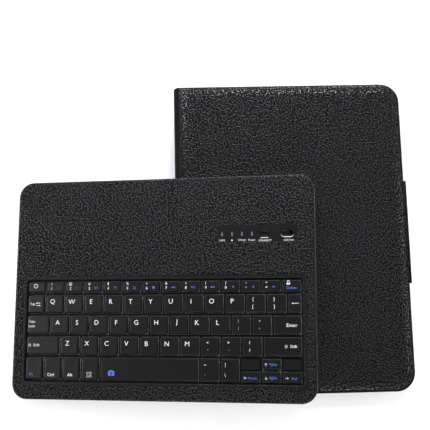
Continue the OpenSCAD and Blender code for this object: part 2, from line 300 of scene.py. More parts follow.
# the panel's corners end where its straight front edge begins
panelPoints = [panelPlace.inverted() @ vertex.co for vertex in nodes["keyboard_bottom_shell"].data.vertices]
panelRadius = min(point.x for point in panelPoints if point.y < near)

coverLo, coverHi = vectors(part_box("back_cover_leather"))
foldTop = Vector(joints["front_cover_open"]["pos_m"])
foldBottom = Vector(joints["spine_fold"]["pos_m"])
coverSlope = math.radians(joints["front_cover_open"]["range_deg"][1] - 90)
coverPlace = Matrix.Translation(foldTop) @ Matrix.Rotation(coverSlope, 4, "Y")
backPlace = Matrix.Translation(foldBottom)
coverStart = coverLo.x - foldTop.x
coverEnd = coverHi.x - foldTop.x
halfLength = coverHi.y
print("frame: panel", [round(v, 4) for v in panelSize], "slope", round(math.degrees(coverSlope), 2))


def newMaterial(name):
    material = bpy.data.materials.new(name)
    material.use_nodes = True
    return material, material.node_tree, material.node_tree.nodes["Principled BSDF"]


def addNode(tree, kind, **settings):
    node = tree.nodes.new(kind)
    setAll(node, settings)
    return node


# sets a socket to a number, or links another node's output to it
def feed(tree, socket, value):
    if isinstance(value, (int, float)):
        socket.default_value = value
    else:
        tree.links.new(value, socket)


def mathNode(tree, operation, *values):
    node = addNode(tree, "ShaderNodeMath", operation=operation)
    for socket, value in zip(node.inputs, values):
        feed(tree, socket, value)
    return node.outputs[0]


def rangeNode(tree, value, fromLo, fromHi, toLo=0.0, toHi=1.0, smooth=True):
    node = addNode(tree, "ShaderNodeMapRange", interpolation_type="SMOOTHSTEP" if smooth else "LINEAR")
    tree.links.new(value, node.inputs["Value"])
    for name, number in (("From Min", fromLo), ("From Max", fromHi), ("To Min", toLo), ("To Max", toHi)):
        node.inputs[name].default_value = number
    return node.outputs["Result"]


def objectPlace(tree):
    return tree.nodes.new("ShaderNodeTexCoord").outputs["Object"]


def noiseNode(tree, where, scale, detail=2.0, roughness=0.5):
    node = tree.nodes.new("ShaderNodeTexNoise")
    tree.links.new(where, node.inputs["Vector"])
    node.inputs["Scale"].default_value = scale
    node.inputs["Detail"].default_value = detail
    node.inputs["Roughness"].default_value = roughness
    return node.outputs["Fac"]


def colourRamp(tree, value, stops):
    node = tree.nodes.new("ShaderNodeValToRGB")
    tree.links.new(value, node.inputs["Fac"])
    node.color_ramp.elements[0].position = stops[0][0]
    node.color_ramp.elements[0].color = (*stops[0][1], 1)
    node.color_ramp.elements[1].position = stops[-1][0]
    node.color_ramp.elements[1].color = (*stops[-1][1], 1)
    for position, colour in stops[1:-1]:
        node.color_ramp.elements.new(position).color = (*colour, 1)
    return node.outputs["Color"]


# a colour that darkens to the given share of itself where the value is low
def mottled(tree, value, colour, share, low=0.3, high=0.7):
    dark = tuple(share * c for c in colour)
    return colourRamp(tree, value, [(low, dark), (high, colour)])


# sets the look of a surface; each value is a number or another node's output
def setSurface(tree, shader, colour, rough, specular=None):
    feed(tree, shader.inputs["Base Color"], colour)
    feed(tree, shader.inputs["Roughness"], rough)
    if specular is not None:
        feed(tree, shader.inputs["Specular IOR Level"], specular)


def bumpNode(tree, height, distance, strength, shader):
    node = tree.nodes.new("ShaderNodeBump")
    node.inputs["Distance"].default_value = distance
    node.inputs["Strength"].default_value = strength
    tree.links.new(height, node.inputs["Height"])
    tree.links.new(node.outputs["Normal"], shader.inputs["Normal"])


# distance of a point from a plane through origin, along a direction
def planeDistance(tree, where, origin, direction):
    away = addNode(tree, "ShaderNodeVectorMath", operation="SUBTRACT")
    tree.links.new(where, away.inputs[0])
    away.inputs[1].default_value = origin
    dot = addNode(tree, "ShaderNodeVectorMath", operation="DOT_PRODUCT")
    tree.links.new(away.outputs["Vector"], dot.inputs[0])
    dot.inputs[1].default_value = direction
    return dot.outputs["Value"]


leatherLook = {
    "cell": 1.3 * mm,         # spacing of the pits
    "wander": 0.3 * mm,       # how far the ridges wander
    "uneven": 0.08,           # how much the pits differ in size
    "pit": (0.27, 0.7),       # from the floor of a pit to the top of its rim, in cells
    "depth": 0.16 * mm,       # depth of the pits
    "fine": 0.06,             # fine wrinkles, as a share of the depth
    # colour of the pits: painted shade
    "crease": (0.0003, 0.0003, 0.0004),
    "top": (0.0062, 0.0062, 0.0075),
    "creaseRough": 0.6,
    "topRough": 0.26,
    "creaseSpecular": 0.0,
    "topSpecular": 0.52,
    "pressed": 0.36,          # tone where the grain is pressed flat; on the cover it is painted dark, as painted shade where the leather falls away at its border and by the spine
}
# the cover's pressed border and spine zone are painted almost as dark as the pits: painted shade
coverLook = dict(leatherLook, top=(0.005, 0.005, 0.0062), topSpecular=0.5, pressed=0.05)


# pebbled leather, its pits painted darker than the ridge tops as painted shade; the grain mask, called with
# (tree, where), gives 1 where the grain shows and 0 where it is pressed flat
def pebbledLeather(name, grainAndShadeMask=None, look=leatherLook):
    material, tree, shader = newMaterial(name)
    where = objectPlace(tree)
    wander = addNode(tree, "ShaderNodeTexNoise", noise_dimensions="3D")
    tree.links.new(where, wander.inputs["Vector"])
    wander.inputs["Scale"].default_value = 0.6 / look["cell"]
    wander.inputs["Detail"].default_value = 1.5
    shift = addNode(tree, "ShaderNodeVectorMath", operation="MULTIPLY_ADD")
    tree.links.new(wander.outputs["Color"], shift.inputs[0])
    shift.inputs[1].default_value = (look["wander"],) * 3
    tree.links.new(where, shift.inputs[2])
    cells = addNode(tree, "ShaderNodeTexVoronoi", voronoi_dimensions="2D", feature="F1")
    tree.links.new(shift.outputs["Vector"], cells.inputs["Vector"])
    cells.inputs["Scale"].default_value = 1 / look["cell"]
    sizes = noiseNode(tree, where, 0.5 / look["cell"], 1.0)
    uneven = mathNode(tree, "MULTIPLY", mathNode(tree, "SUBTRACT", sizes, 0.5), look["uneven"])
    distance = mathNode(tree, "ADD", cells.outputs["Distance"], uneven)
    pebble = rangeNode(tree, distance, *look["pit"])
    fine = noiseNode(tree, where, 5 / look["cell"], 3.0, 0.6)
    waves = noiseNode(tree, where, 45, 2.0)
    relief = mathNode(tree, "MULTIPLY_ADD", fine, look["fine"], pebble)
    crease = pebble
    if grainAndShadeMask is not None:
        mask = grainAndShadeMask(tree, where)
        relief = mathNode(tree, "MULTIPLY", relief, mask)
        smoothed = mathNode(tree, "SUBTRACT", 1.0, mask)
        # where the grain is pressed flat the tone drops to the pressed level: painted shade on the cover
        pressed = mathNode(tree, "MULTIPLY", smoothed, look["pressed"])
        crease = mathNode(tree, "MAXIMUM", crease, pressed)
    # the pits are painted darker than the ridge tops: painted shade
    tone = mathNode(tree, "MULTIPLY", crease, rangeNode(tree, waves, 0.3, 0.7, 0.82, 1.0))
    colour = colourRamp(tree, tone, [(0.0, look["crease"]), (1.0, look["top"])])
    rough = rangeNode(tree, crease, 0.0, 1.0, look["creaseRough"], look["topRough"], smooth=False)
    shine = rangeNode(tree, crease, 0.0, 1.0, look["creaseSpecular"], look["topSpecular"], smooth=False)
    setSurface(tree, shader, colour, rough, shine)
    bumpNode(tree, relief, look["depth"], 1.0, shader)
    return material


smoothLook = {"cell": 0.5 * mm, "depth": 0.02 * mm, "colour": (0.003, 0.003, 0.0032), "rough": 0.36,
              "specular": 0.1}


# leather without grain, as on the spine and the clasp
def smoothLeather(name, look=smoothLook):
    material, tree, shader = newMaterial(name)
    where = objectPlace(tree)
    fine = noiseNode(tree, where, 1 / look["cell"], 4.0, 0.6)
    cloud = noiseNode(tree, where, 60, 2.0)
    rough = rangeNode(tree, fine, 0.2, 0.8, look["rough"] + 0.1, look["rough"] - 0.06)
    setSurface(tree, shader, mottled(tree, cloud, look["colour"], 0.75), rough, look["specular"])
    bumpNode(tree, fine, look["depth"], 1.0, shader)
    return material


# moulded plastic with a spark-eroded texture
def mouldedPlastic(name, colour, rough, textureSize=0.25 * mm, depth=0.012 * mm, specular=0.45):
    material, tree, shader = newMaterial(name)
    where = objectPlace(tree)
    fine = noiseNode(tree, where, 1 / textureSize, 3.0, 0.65)
    cloud = noiseNode(tree, where, 30, 3.0)
    matt = rangeNode(tree, fine, 0.25, 0.75, rough + 0.07, rough - 0.05)
    setSurface(tree, shader, mottled(tree, cloud, colour, 0.82), matt, specular)
    bumpNode(tree, fine, depth, 1.0, shader)
    return material


# napped microfibre cloth
def microfibre(name):
    material, tree, shader = newMaterial(name)
    where = objectPlace(tree)
    nap = noiseNode(tree, where, 2600, 4.0, 0.7)
    stroke = noiseNode(tree, where, 35, 3.0, 0.55)
    both = mathNode(tree, "MULTIPLY_ADD", stroke, 0.6, nap)
    colour = colourRamp(tree, both, [(0.5, (0.018, 0.018, 0.02)), (1.1, (0.05, 0.05, 0.054))])
    setSurface(tree, shader, colour, 0.95)
    shader.inputs["Sheen Weight"].default_value = 0.35
    shader.inputs["Sheen Roughness"].default_value = 0.5
    bumpNode(tree, nap, 0.08 * mm, 0.8, shader)
    return material


# bare or plated metal with a fine brushed grain
def metal(name, colour, rough):
    material, tree, shader = newMaterial(name)
    mapping = tree.nodes.new("ShaderNodeMapping")
    mapping.inputs["Scale"].default_value = (1, 12, 1)
    tree.links.new(objectPlace(tree), mapping.inputs["Vector"])
    brush = noiseNode(tree, mapping.outputs["Vector"], 400, 3.0)
    matt = rangeNode(tree, brush, 0.3, 0.7, rough - 0.06, rough + 0.08)
    setSurface(tree, shader, mottled(tree, brush, colour, 0.8), matt)
    shader.inputs["Metallic"].default_value = 1.0
    return material


# board with paper fibres
def fibreBoard(name):
    material, tree, shader = newMaterial(name)
    fibres = noiseNode(tree, objectPlace(tree), 900, 5.0, 0.7)
    colour = colourRamp(tree, fibres, [(0.3, (0.2, 0.17, 0.14)), (0.7, (0.36, 0.32, 0.27))])
    setSurface(tree, shader, colour, 0.9)
    bumpNode(tree, fibres, 0.05 * mm, 0.6, shader)
    return material


# printed ink: faint mottling, slightly matt
def printInk(name, colour):
    material, tree, shader = newMaterial(name)
    speck = noiseNode(tree, objectPlace(tree), 3000, 2.0)
    setSurface(tree, shader, mottled(tree, speck, colour, 0.85, 0.35, 0.6), 0.6)
    return material


def threadLook(name):
    material, tree, shader = newMaterial(name)
    twist = addNode(tree, "ShaderNodeTexWave", bands_direction="DIAGONAL")
    tree.links.new(objectPlace(tree), twist.inputs["Vector"])
    twist.inputs["Scale"].default_value = 900
    twist.inputs["Distortion"].default_value = 1.0
    strands = twist.outputs["Fac"]
    colour = colourRamp(tree, strands, [(0.2, (0.006, 0.006, 0.006)), (0.8, (0.022, 0.021, 0.02))])
    setSurface(tree, shader, colour, 0.65)
    bumpNode(tree, strands, 0.04 * mm, 0.7, shader)
    return material


# how far a point lies outside the straight core of a rounded rectangle: equals radius on its outline
def roundReach(tree, across, deep, middle, half, radius):
    spot = tree.nodes.new("ShaderNodeCombineXYZ")
    for socket, value, centre, size in (("X", across, middle[0], half[0]), ("Y", deep, middle[1], half[1])):
        offset = mathNode(tree, "ABSOLUTE", mathNode(tree, "SUBTRACT", value, centre))
        beyond = mathNode(tree, "SUBTRACT", offset, size - radius)
        tree.links.new(mathNode(tree, "MAXIMUM", beyond, 0.0), spot.inputs[socket])
    reach = addNode(tree, "ShaderNodeVectorMath", operation="LENGTH")
    tree.links.new(spot.outputs["Vector"], reach.inputs[0])
    return reach.outputs["Value"]


# grain stops short of the spine, where the leather is pressed and folded and is painted darker as painted
# shade
smoothNearSpine = 8.2 * mm
pressedBorder = 2.6 * mm


# the round corner starts where the straight free edge of the back cover ends
freeEdge = [vertex.co.y for vertex in nodes["back_cover_leather"].data.vertices
            if vertex.co.x > coverHi.x - near]
folioRadius = halfLength - max(freeEdge)


def coverGrainAndShade(tree, where):
    fromSpine = planeDistance(tree, where, tuple(foldTop), (1, 0, 0))
    wobble = noiseNode(tree, where, 260, 2.0)
    edge = mathNode(tree, "MULTIPLY_ADD", wobble, 1.6 * mm, fromSpine)
    offSpine = rangeNode(tree, edge, smoothNearSpine - 0.5 * mm, smoothNearSpine + 2.2 * mm)
    # and on the pressed border along the other three edges, which is also painted darker as painted shade
    deep = planeDistance(tree, where, (0, 0, 0), (0, 1, 0))
    reach = roundReach(tree, fromSpine, deep, (0, 0), (coverEnd, halfLength), folioRadius)
    inner = folioRadius - pressedBorder
    return mathNode(tree, "MULTIPLY", offSpine,
                    rangeNode(tree, reach, inner - 0.5 * mm, inner + 0.4 * mm, 1.0, 0.0))


labelLo, labelHi = nodeSpan("indicator_label", panelPlace)
frameLo, frameHi = nodeSpan("key_frame", panelPlace)
frameBorder = Vector((3 * mm, 3 * mm, 0))
wellLo, wellHi = frameLo + frameBorder, frameHi - frameBorder
wellRim = 2.7 * mm           # from the key well to the middle of the embossed line
wellRimCorner = 4 * mm       # outer radius of the embossed line's corners


# the deck's grain fades out round the indicator field
def deckGrain(tree, where):
    origin = tuple(panelPlace.translation)
    across = planeDistance(tree, where, origin, tuple(panelAlong))
    deep = planeDistance(tree, where, origin, tuple(panelBack))
    centre = (labelLo + labelHi) / 2
    fade = 1.3 * mm
    aways = []
    for value, middle, end in ((across, centre.x, labelHi.x), (deep, centre.y, labelHi.y)):
        offset = mathNode(tree, "ABSOLUTE", mathNode(tree, "SUBTRACT", value, middle))
        aways.append(rangeNode(tree, offset, end - middle - fade / 2, end - middle + fade))
    outside = mathNode(tree, "MAXIMUM", *aways)
    # and on the rolled edge of the panel
    half = panelSize / 2
    reach = roundReach(tree, across, deep, half, half, panelRadius)
    inside = rangeNode(tree, reach, panelRadius - 1.6 * mm, panelRadius - 0.9 * mm, 1.0, 0.0)
    # and inside the embossed line round the keys
    half = (wellHi - wellLo) / 2 + Vector((wellRim, wellRim, 0))
    reach = roundReach(tree, across, deep, (wellLo + wellHi) / 2, half, wellRimCorner)
    beyond = rangeNode(tree, reach, wellRimCorner - 0.3 * mm, wellRimCorner + 0.3 * mm)
    return mathNode(tree, "MULTIPLY", mathNode(tree, "MULTIPLY", outside, inside), beyond)


finishes = {
    "cover": pebbledLeather("coverLeather", coverGrainAndShade, coverLook),
    "deck": pebbledLeather("deckLeather", deckGrain),
    "smooth": smoothLeather("smoothLeather"),
    "lining": microfibre("microfibreLining"),
    "board": fibreBoard("coverBoard"),
    "tray": mouldedPlastic("trayPlastic", (0.018, 0.018, 0.02), 0.55),
    "shell": mouldedPlastic("shellPlastic", (0.012, 0.012, 0.013), 0.45),
    "key": mouldedPlastic("keyPlastic", (0.0038, 0.0038, 0.0043), 0.3, depth=0.006 * mm, specular=0.42),
    # the frame's own black plastic, made darker than the keys as painted shade in the gaps between them
    "keyFrame": mouldedPlastic("framePlastic", (0.0025, 0.0025, 0.003), 0.5, specular=0.15),
    "button": mouldedPlastic("buttonPlastic", (0.002, 0.002, 0.0022), 0.25, depth=0.003 * mm, specular=0.3),
    "label": mouldedPlastic("labelFilm", (0.004, 0.004, 0.0045), 0.32, depth=0.004 * mm, specular=0.3),
    "lens": mouldedPlastic("lensPlastic", (0.14, 0.14, 0.145), 0.3, depth=0.003 * mm),
    "steel": metal("magnetSteel", (0.55, 0.55, 0.56), 0.35),
    "connector": metal("connectorSteel", (0.5, 0.5, 0.52), 0.28),
    "circuit": mouldedPlastic("circuitBoard", (0.003, 0.016, 0.008), 0.4),
    "battery": metal("batteryWrap", (0.5, 0.5, 0.52), 0.4),
    "membrane": mouldedPlastic("membraneFilm", (0.5, 0.5, 0.48), 0.45),
    "dome": mouldedPlastic("domeRubber", (0.2, 0.2, 0.2), 0.7),
    "thread": threadLook("blackThread"),
    "white": printInk("whiteInk", (0.62, 0.63, 0.65)),
    "blue": printInk("blueInk", (0.045, 0.12, 0.46)),
    "dim": printInk("dimInk", (0.035, 0.05, 0.1)),
}

slotFinish = {
    "pebbled_leather": "cover", "smooth_leather": "smooth", "cover_board": "board", "lining": "lining",
    "tray_plastic": "tray", "shell_plastic": "shell", "key_plastic": "key", "frame_plastic": "keyFrame",
    "button_plastic": "button", "label_film": "label", "lens": "lens", "magnet_steel": "steel",
    "circuit_board": "circuit", "battery_wrap": "battery", "connector_steel": "connector",
    "membrane_film": "membrane", "dome_rubber": "dome",
}
for row in frame["record"]["subparts"]:
    paint(nodes[row["node"]], finishes[slotFinish[row["material_slot"]]])
print("materials:", len(finishes))


# folio covers
coverShape = {
    "edgeDepth": 2.5 * mm,      # leather and hem at the pressed edge
    "pad": 1.5 * mm,            # how far the padded field stands over the pressed border
    "roll": 0.35 * mm,          # rounding of the outer edge
    "border": 2.5 * mm,         # pressed border
    "shoulder": 7.5 * mm,       # slope up to the padded field
    "boardInset": 5 * mm,
    "boardPocket": 1.4 * mm,
    "stitchInset": 2.3 * mm,
    "stitchPitch": 2.5 * mm,
    "stitchLength": 1.75 * mm,
    "threadRadius": 0.24 * mm,
}


# a padded cover, outer face up, from the fold to the free edge; its fold line is at x = 0
def padCover(name, shape):
    top = -shape["roll"] - shape["pad"]
    obj = addBlock(name, (coverStart, -halfLength, -shape["edgeDepth"]), (coverEnd, halfLength, top))
    roundUprights(obj, folioRadius, 14, lambda edge: edgeMiddle(edge).x > coverEnd - mm)
    insetSteps(obj, rollSteps(shape["roll"], 4) + [(shape["border"] - shape["roll"], 0)]
               + slopeSteps(shape["shoulder"], shape["pad"], 9) + [(1.5 * mm, 0)])
    insetSteps(obj, [(shape["boardInset"], 0), (0.0001 * mm, -shape["boardPocket"])], up=False)
    return obj


# points and headings every pitch along three sides of a cover, inset from its edge
def borderPath(shape):
    inset = shape["stitchInset"]
    radius = folioRadius - inset
    left = coverStart + 3 * mm
    right = coverEnd - inset
    side = halfLength - inset
    straight = right - radius - left
    arc = math.pi / 2 * radius
    pieces = [
        (straight, lambda s: (left + s, side, 0)),
        (arc, lambda s: (right - radius + radius * math.sin(s / radius),
                         side - radius + radius * math.cos(s / radius), -s / radius)),
        (2 * (side - radius), lambda s: (right, side - radius - s, -math.pi / 2)),
        (arc, lambda s: (right - radius + radius * math.cos(s / radius),
                         radius - side - radius * math.sin(s / radius), -math.pi / 2 - s / radius)),
        (straight, lambda s: (right - radius - s, -side, math.pi)),
    ]
    total = sum(length for length, spot in pieces)
    count = round(total / shape["stitchPitch"])
    for i in range(count):
        along = (i + 0.5) * total / count
        for length, spot in pieces:
            if along < length:
                yield spot(along)
                break
            along -= length


# one stitch: a short thread with rounded ends, half sunk in the leather
def oneStitch(name, length, radius):
    deselect()
    bpy.ops.mesh.primitive_uv_sphere_add(segments=6, ring_count=6, radius=radius,
                                         rotation=(0, math.pi / 2, 0))
    obj = bpy.context.object
    applyPlace()
    startEdit(obj)
    for side in (1, -1):
        pick(obj, "VERT", lambda vertex: vertex.co.x * side > radius * 0.1)
        bpy.ops.transform.translate(value=(side * (length / 2 - radius), 0, 0))
    endEdit()
    obj.name = name
    return obj


def sewPath(name, path, height, length, radius, lean=0.14):
    stitch = oneStitch(name, length, radius)
    copies = []
    for x, y, heading in path:
        copy = copyOf(stitch)
        copy.matrix_world = Matrix.Translation((x, y, height)) @ Matrix.Rotation(heading + lean, 4, "Z")
        copies.append(copy)
    bpy.data.objects.remove(stitch, do_unlink=True)
    joined = joinAll(name, copies)
    activate(joined)
    applyPlace()
    bpy.ops.object.shade_smooth()
    return joined


def makeCovers(shape):
    turnOver = Matrix.Rotation(math.pi, 4, "X")
    for body, place, name, node in (
            ("front_cover", coverPlace, "frontCoverSkin", "front_cover_leather"),
            ("back_cover", backPlace @ turnOver, "backCoverSkin", "back_cover_leather")):
        skin = padCover(name, shape)
        stitches = sewPath(name.replace("Skin", "Stitches"), borderPath(shape),
                           -shape["pad"] - 0.05 * mm, shape["stitchLength"], shape["threadRadius"])
        settle(skin, place)
        settle(stitches, place)
        if body == "back_cover":
            cutCameraWindow(skin)
        tidyMesh(skin)
        finishPiece(skin, body, finishes["cover"], "pebbled_leather", node)
        finishPiece(stitches, body, finishes["thread"], "smooth_leather")


def cutCameraWindow(skin):
    # the lining's vertices that lie away from its outline are those of the window
    lo, hi = vectors(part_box("back_cover_lining"))
    margin = 3 * mm
    hole = [vertex.co for vertex in nodes["back_cover_lining"].data.vertices
            if lo.x + margin < vertex.co.x < hi.x - margin and lo.y + margin < vertex.co.y < hi.y - margin]
    lo, hi = spanOf(hole)
    deselect()
    bpy.ops.mesh.primitive_cylinder_add(vertices=48, radius=(hi.x - lo.x) / 2, depth=20 * mm,
                                        location=((lo.x + hi.x) / 2, (lo.y + hi.y) / 2, 0))
    cutAway(skin, bpy.context.object)


makeCovers(coverShape)
print("covers done")


# spine and its folds
spineShape = {
    "turn": 2.6 * mm,        # outer radius of the folded corner
    "sheet": 0.8 * mm,       # leather thickness
    "reach": 3.2 * mm,       # how far a fold reaches down the spine
    "overlap": 0.5 * mm,     # how far a fold reaches on to the cover's border
    "cutBack": (5 * mm, 2.2 * mm),   # the ends slope in by the second over the first
    "segments": 10,
}


# a strip of leather bent round the corner at the fold line, drawn with the cover to the right
def foldStrip(name, shape, drop):
    sheet = shape["sheet"]
    turn = shape["turn"]
    bend = turn - sheet / 2      # radius of the middle line
    deselect()
    bpy.ops.mesh.primitive_plane_add(size=1, location=(0, 0, 0))
    strip = bpy.context.object
    strip.name = name
    end = coverStart + shape["overlap"]
    # outline of the middle line, from the spine side, round the corner, to the cover
    line = [(sheet / 2, -shape["reach"]), (sheet / 2, -(shape["reach"] + turn) / 2)]
    for i in range(shape["segments"] + 1):
        angle = math.pi - math.pi / 2 * i / shape["segments"]
        line.append((turn + bend * math.cos(angle), -turn + bend * math.sin(angle)))
    line.append(((turn + end) / 2 + 0.2 * mm, -sheet / 2 - drop * 0.6))
    line.append((end, -sheet / 2 - drop))
    startEdit(strip)
    pick(strip, "EDGE", lambda edge: abs(edgeWay(edge).y) > 0.9 and edgeMiddle(edge).x > 0)
    bpy.ops.mesh.select_mode(type="VERT")
    bpy.ops.mesh.select_all(action="INVERT")
    bpy.ops.mesh.delete(type="VERT")
    mesh = bmesh.from_edit_mesh(strip.data)
    for vertex in mesh.verts:
        vertex.co = Vector((line[0][0], math.copysign(halfLength, vertex.co.y), line[0][1]))
    bmesh.update_edit_mesh(strip.data)
    bpy.ops.mesh.select_mode(type="EDGE")
    bpy.ops.mesh.select_all(action="SELECT")
    for (x0, z0), (x1, z1) in zip(line, line[1:]):
        bpy.ops.mesh.extrude_region_move(TRANSFORM_OT_translate={"value": (x1 - x0, 0, z1 - z0)})
    endEdit()
    run, cut = shape["cutBack"]
    for vertex in strip.data.vertices:
        share = max(0.0, 1 - vertex.co.x / run)
        vertex.co.y -= math.copysign(cut * share ** 1.3, vertex.co.y)
    return strip


def makeSpine(shape):
    lo, hi = vectors(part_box("spine_leather"))
    height = foldTop.z
    drop = coverShape["pad"]
    flip = Matrix.Scale(-1, 4, (0, 0, 1))
    for name, place, bodies, start, end in (
            ("upperFold", coverPlace, ("spine", "front_cover"),
             (foldTop.x + 0.5 * mm, 0, height - shape["reach"]),
             (foldTop.x + coverStart, 0, height - 0.5 * mm)),
            ("lowerFold", backPlace @ flip, ("back_cover", "spine"),
             (foldTop.x + shape["turn"], 0, 0.5 * mm), (foldTop.x + 0.5 * mm, 0, shape["reach"]))):
        strip = foldStrip(name, shape, drop)
        applyModifier(strip, "SOLIDIFY", thickness=shape["sheet"], offset=0)
        settle(strip, place)
        tidyMesh(strip, 50)
        finishPiece(strip, None, finishes["smooth"], "smooth_leather")
        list(bodies)
        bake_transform(strip)
        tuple(start)
        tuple(end)
    cut = shape["cutBack"][1]
    skin = addBlock("spineSkin", (lo.x, lo.y + cut, shape["reach"]),
                    (hi.x - 0.5 * mm, hi.y - cut, height - shape["reach"]))
    bevelEdges(skin, 0.8 * mm, 4,
               lambda edge: abs(edgeWay(edge).z) > parallel and edgeMiddle(edge).x < lo.x + mm)
    tidyMesh(skin)
    finishPiece(skin, "spine", finishes["smooth"], "smooth_leather", "spine_leather")


makeSpine(spineShape)
print("spine done")


# clasp
claspShape = {
    "gap": 0.3 * mm,           # from the back cover's edge to the strap
    "outerRound": 1.3 * mm,
    "edgeRound": 0.35 * mm,
    "tabThickness": 0.9 * mm,
    "rootDrop": 2.2 * mm,
    "rootRound": 1.5 * mm,
    "stitchRows": (2.6 * mm, 1.2 * mm),    # under the strap's top and above its foot
    "stitchMargin": 1.5 * mm,              # free of stitches at each end
    "stitchPitch": 2.6 * mm,
    "stitchLength": 1.8 * mm,
    "stitchRadius": 0.22 * mm,
    "stitchSink": 0.2 * mm,
}


def makeClasp(shape):
    lo, hi = vectors(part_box("clasp_strap"))
    wall = coverHi.x + shape["gap"]
    tabFoot = hi.z - shape["tabThickness"]
    strap = addBlock("claspStrap", (wall, lo.y, lo.z), (hi.x, hi.y, hi.z))
    startEdit(strap)
    bpy.ops.mesh.select_all(action="SELECT")
    bpy.ops.mesh.bisect(plane_co=(0, 0, tabFoot), plane_no=(0, 0, 1))
    pick(strap, "FACE", lambda face: face.normal.x < -parallel and face.calc_center_median().z > tabFoot)
    bpy.ops.mesh.extrude_region_move(TRANSFORM_OT_translate={"value": (lo.x - wall, 0, 0)})
    endEdit()
    bevelEdges(strap, shape["outerRound"], 6, lambda edge: abs(edgeWay(edge).y) > parallel
               and edgeMiddle(edge).x > hi.x - near and edgeMiddle(edge).z > hi.z - near)
    bevelEdges(strap, shape["edgeRound"], 3, lambda edge: abs(edgeWay(edge).y) < 0.5
               and edgeMiddle(edge).x > wall
               and abs(edgeMiddle(edge).y) > abs(hi.y) - 2 * mm - abs(lo.y + hi.y))
    tidyMesh(strap)
    start = lo.y + shape["stitchMargin"]
    run = hi.y - lo.y - 2 * shape["stitchMargin"]
    count = round(run / shape["stitchPitch"])
    path = [(start + (i + 0.5) * run / count, 0, 0) for i in range(count)]
    upright = placeFrom(Vector((0, 1, 0)), Vector((0, 0, 1)), Vector((1, 0, 0)), Vector((hi.x, 0, 0)))
    fromTop, fromFoot = shape["stitchRows"]
    for i, height in enumerate((hi.z - fromTop, lo.z + fromFoot)):
        row = sewPath(f"claspStitches{i + 1}", path, -shape["stitchSink"], shape["stitchLength"],
                      shape["stitchRadius"], 0.0)
        settle(row, Matrix.Translation((0, 0, height)) @ upright)
        finishPiece(row, "clasp", finishes["thread"], "smooth_leather")
    finishPiece(strap, "clasp", finishes["smooth"], "smooth_leather", "clasp_strap")
    # the strap's root, folded in under the back cover's edge
    root = addBlock("claspRoot", (coverHi.x - 1.5 * mm, lo.y + 0.4 * mm, lo.z - shape["rootDrop"]),
                    (hi.x - 0.15 * mm, hi.y - 0.4 * mm, lo.z + 0.05 * mm))
    bevelEdges(root, shape["rootRound"], 6, lambda edge: abs(edgeWay(edge).y) > parallel
               and edgeMiddle(edge).x > coverHi.x and edgeMiddle(edge).z < lo.z - mm)
    tidyMesh(root)
    finishPiece(root, None, finishes["smooth"], "smooth_leather")
    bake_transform(root)


makeClasp(claspShape)
print("clasp done")


# keyboard panel
panelShape = {
    "cornerSegments": 12,
    "shellRound": 1.3 * mm,
    "wall": 1.6 * mm,
    "socketRound": 0.5 * mm,
    "deckRoll": 0.75 * mm,
    "wellRoll": 0.35 * mm,
    "wellCorner": 2.5 * mm,
    "fieldCorner": 2 * mm,
    "grooveWidth": 0.55 * mm,
    "grooveDepth": 0.3 * mm,
    "play": 0.25 * mm,         # round the button and the slider
}


def makeShell(shape):
    floor = nodeSpan("battery", panelPlace)[0].z
    shell = roundBlock("panelShell", (0, 0, 0), tuple(panelSize), panelRadius, shape["cornerSegments"])
    bevelEdges(shell, shape["shellRound"], 4, lambda edge: max(v.co.z for v in edge.verts) < near)
    insetSteps(shell, [(shape["wall"], 0), (0.001 * mm, floor - panelSize.z)])
    lo, hi = nodeSpan("usb_port", panelPlace)
    slot = addBlock("slot", (panelSize.x - 3 * shape["wall"], lo.y, lo.z),
                    (panelSize.x + mm, hi.y, hi.z + 0.2 * mm))
    bevelEdges(slot, shape["socketRound"], 3, lambda edge: abs(edgeWay(edge).x) > parallel)
    cutAway(shell, slot)
    settle(shell, panelPlace)
    tidyMesh(shell)
    finishPiece(shell, "keyboard", finishes["shell"], "shell_plastic", "keyboard_bottom_shell")


# an oval block between two corners, round at its left and right ends
def addOval(name, lo, hi):
    oval = roundBlock(name, lo, hi, (hi[1] - lo[1]) / 2, 10)
    startEdit(oval)
    mergeDoubles(near)
    endEdit()
    return oval


def makeDeck(shape):
    deckLo, deckHi = nodeSpan("deck_leather", panelPlace)
    top = deckHi.z
    deck = roundBlock("deckSkin", (0, 0, deckLo.z), (panelSize.x, panelSize.y, top - shape["deckRoll"]),
                      panelRadius, shape["cornerSegments"])
    insetSteps(deck, rollSteps(shape["deckRoll"], 4) + [(0.8 * mm, 0)])
    # embossed line round the key field, as a shallow frame cut from the leather
    wide = shape["grooveWidth"]
    away = wellRim - wide / 2
    groove = roundBlock("groove", *grown(wellLo, wellHi, away + wide, top - shape["grooveDepth"], top + mm),
                        wellRimCorner, 6)
    plug = roundBlock("plug", *grown(wellLo, wellHi, away, top - 2 * mm, top + 2 * mm),
                      wellRimCorner - 0.4 * mm, 6)
    cutAway(groove, plug)
    cutAway(deck, groove)
    well = grown(wellLo, wellHi, 0, deckLo.z - mm, top + mm)
    cutAway(deck, roundBlock("well", *well, shape["wellCorner"], 6))
    bevelEdges(deck, shape["wellRoll"], 3, lambda edge: min(v.co.z for v in edge.verts) > top - near
               and wellLo.x - near < edgeMiddle(edge).x < wellHi.x + near
               and wellLo.y - near < edgeMiddle(edge).y < wellHi.y + near)
    # recess for the smooth field, windows for the lights and holes for the two controls
    recess = grown(labelLo, labelHi, 0, top - (labelHi.z - labelLo.z), top + mm)
    cutAway(deck, roundBlock("recess", *recess, shape["fieldCorner"], 6))
    for add, boxes, play in ((addBlock, lightBoxes, 0), (addOval, controlBoxes, shape["play"])):
        for lo, hi in boxes:
            cutAway(deck, add("window", *grown(lo, hi, play, deckLo.z - mm, top + mm)))
    settle(deck, panelPlace)
    tidyMesh(deck, 40)
    finishPiece(deck, "keyboard", finishes["deck"], "pebbled_leather", "deck_leather")


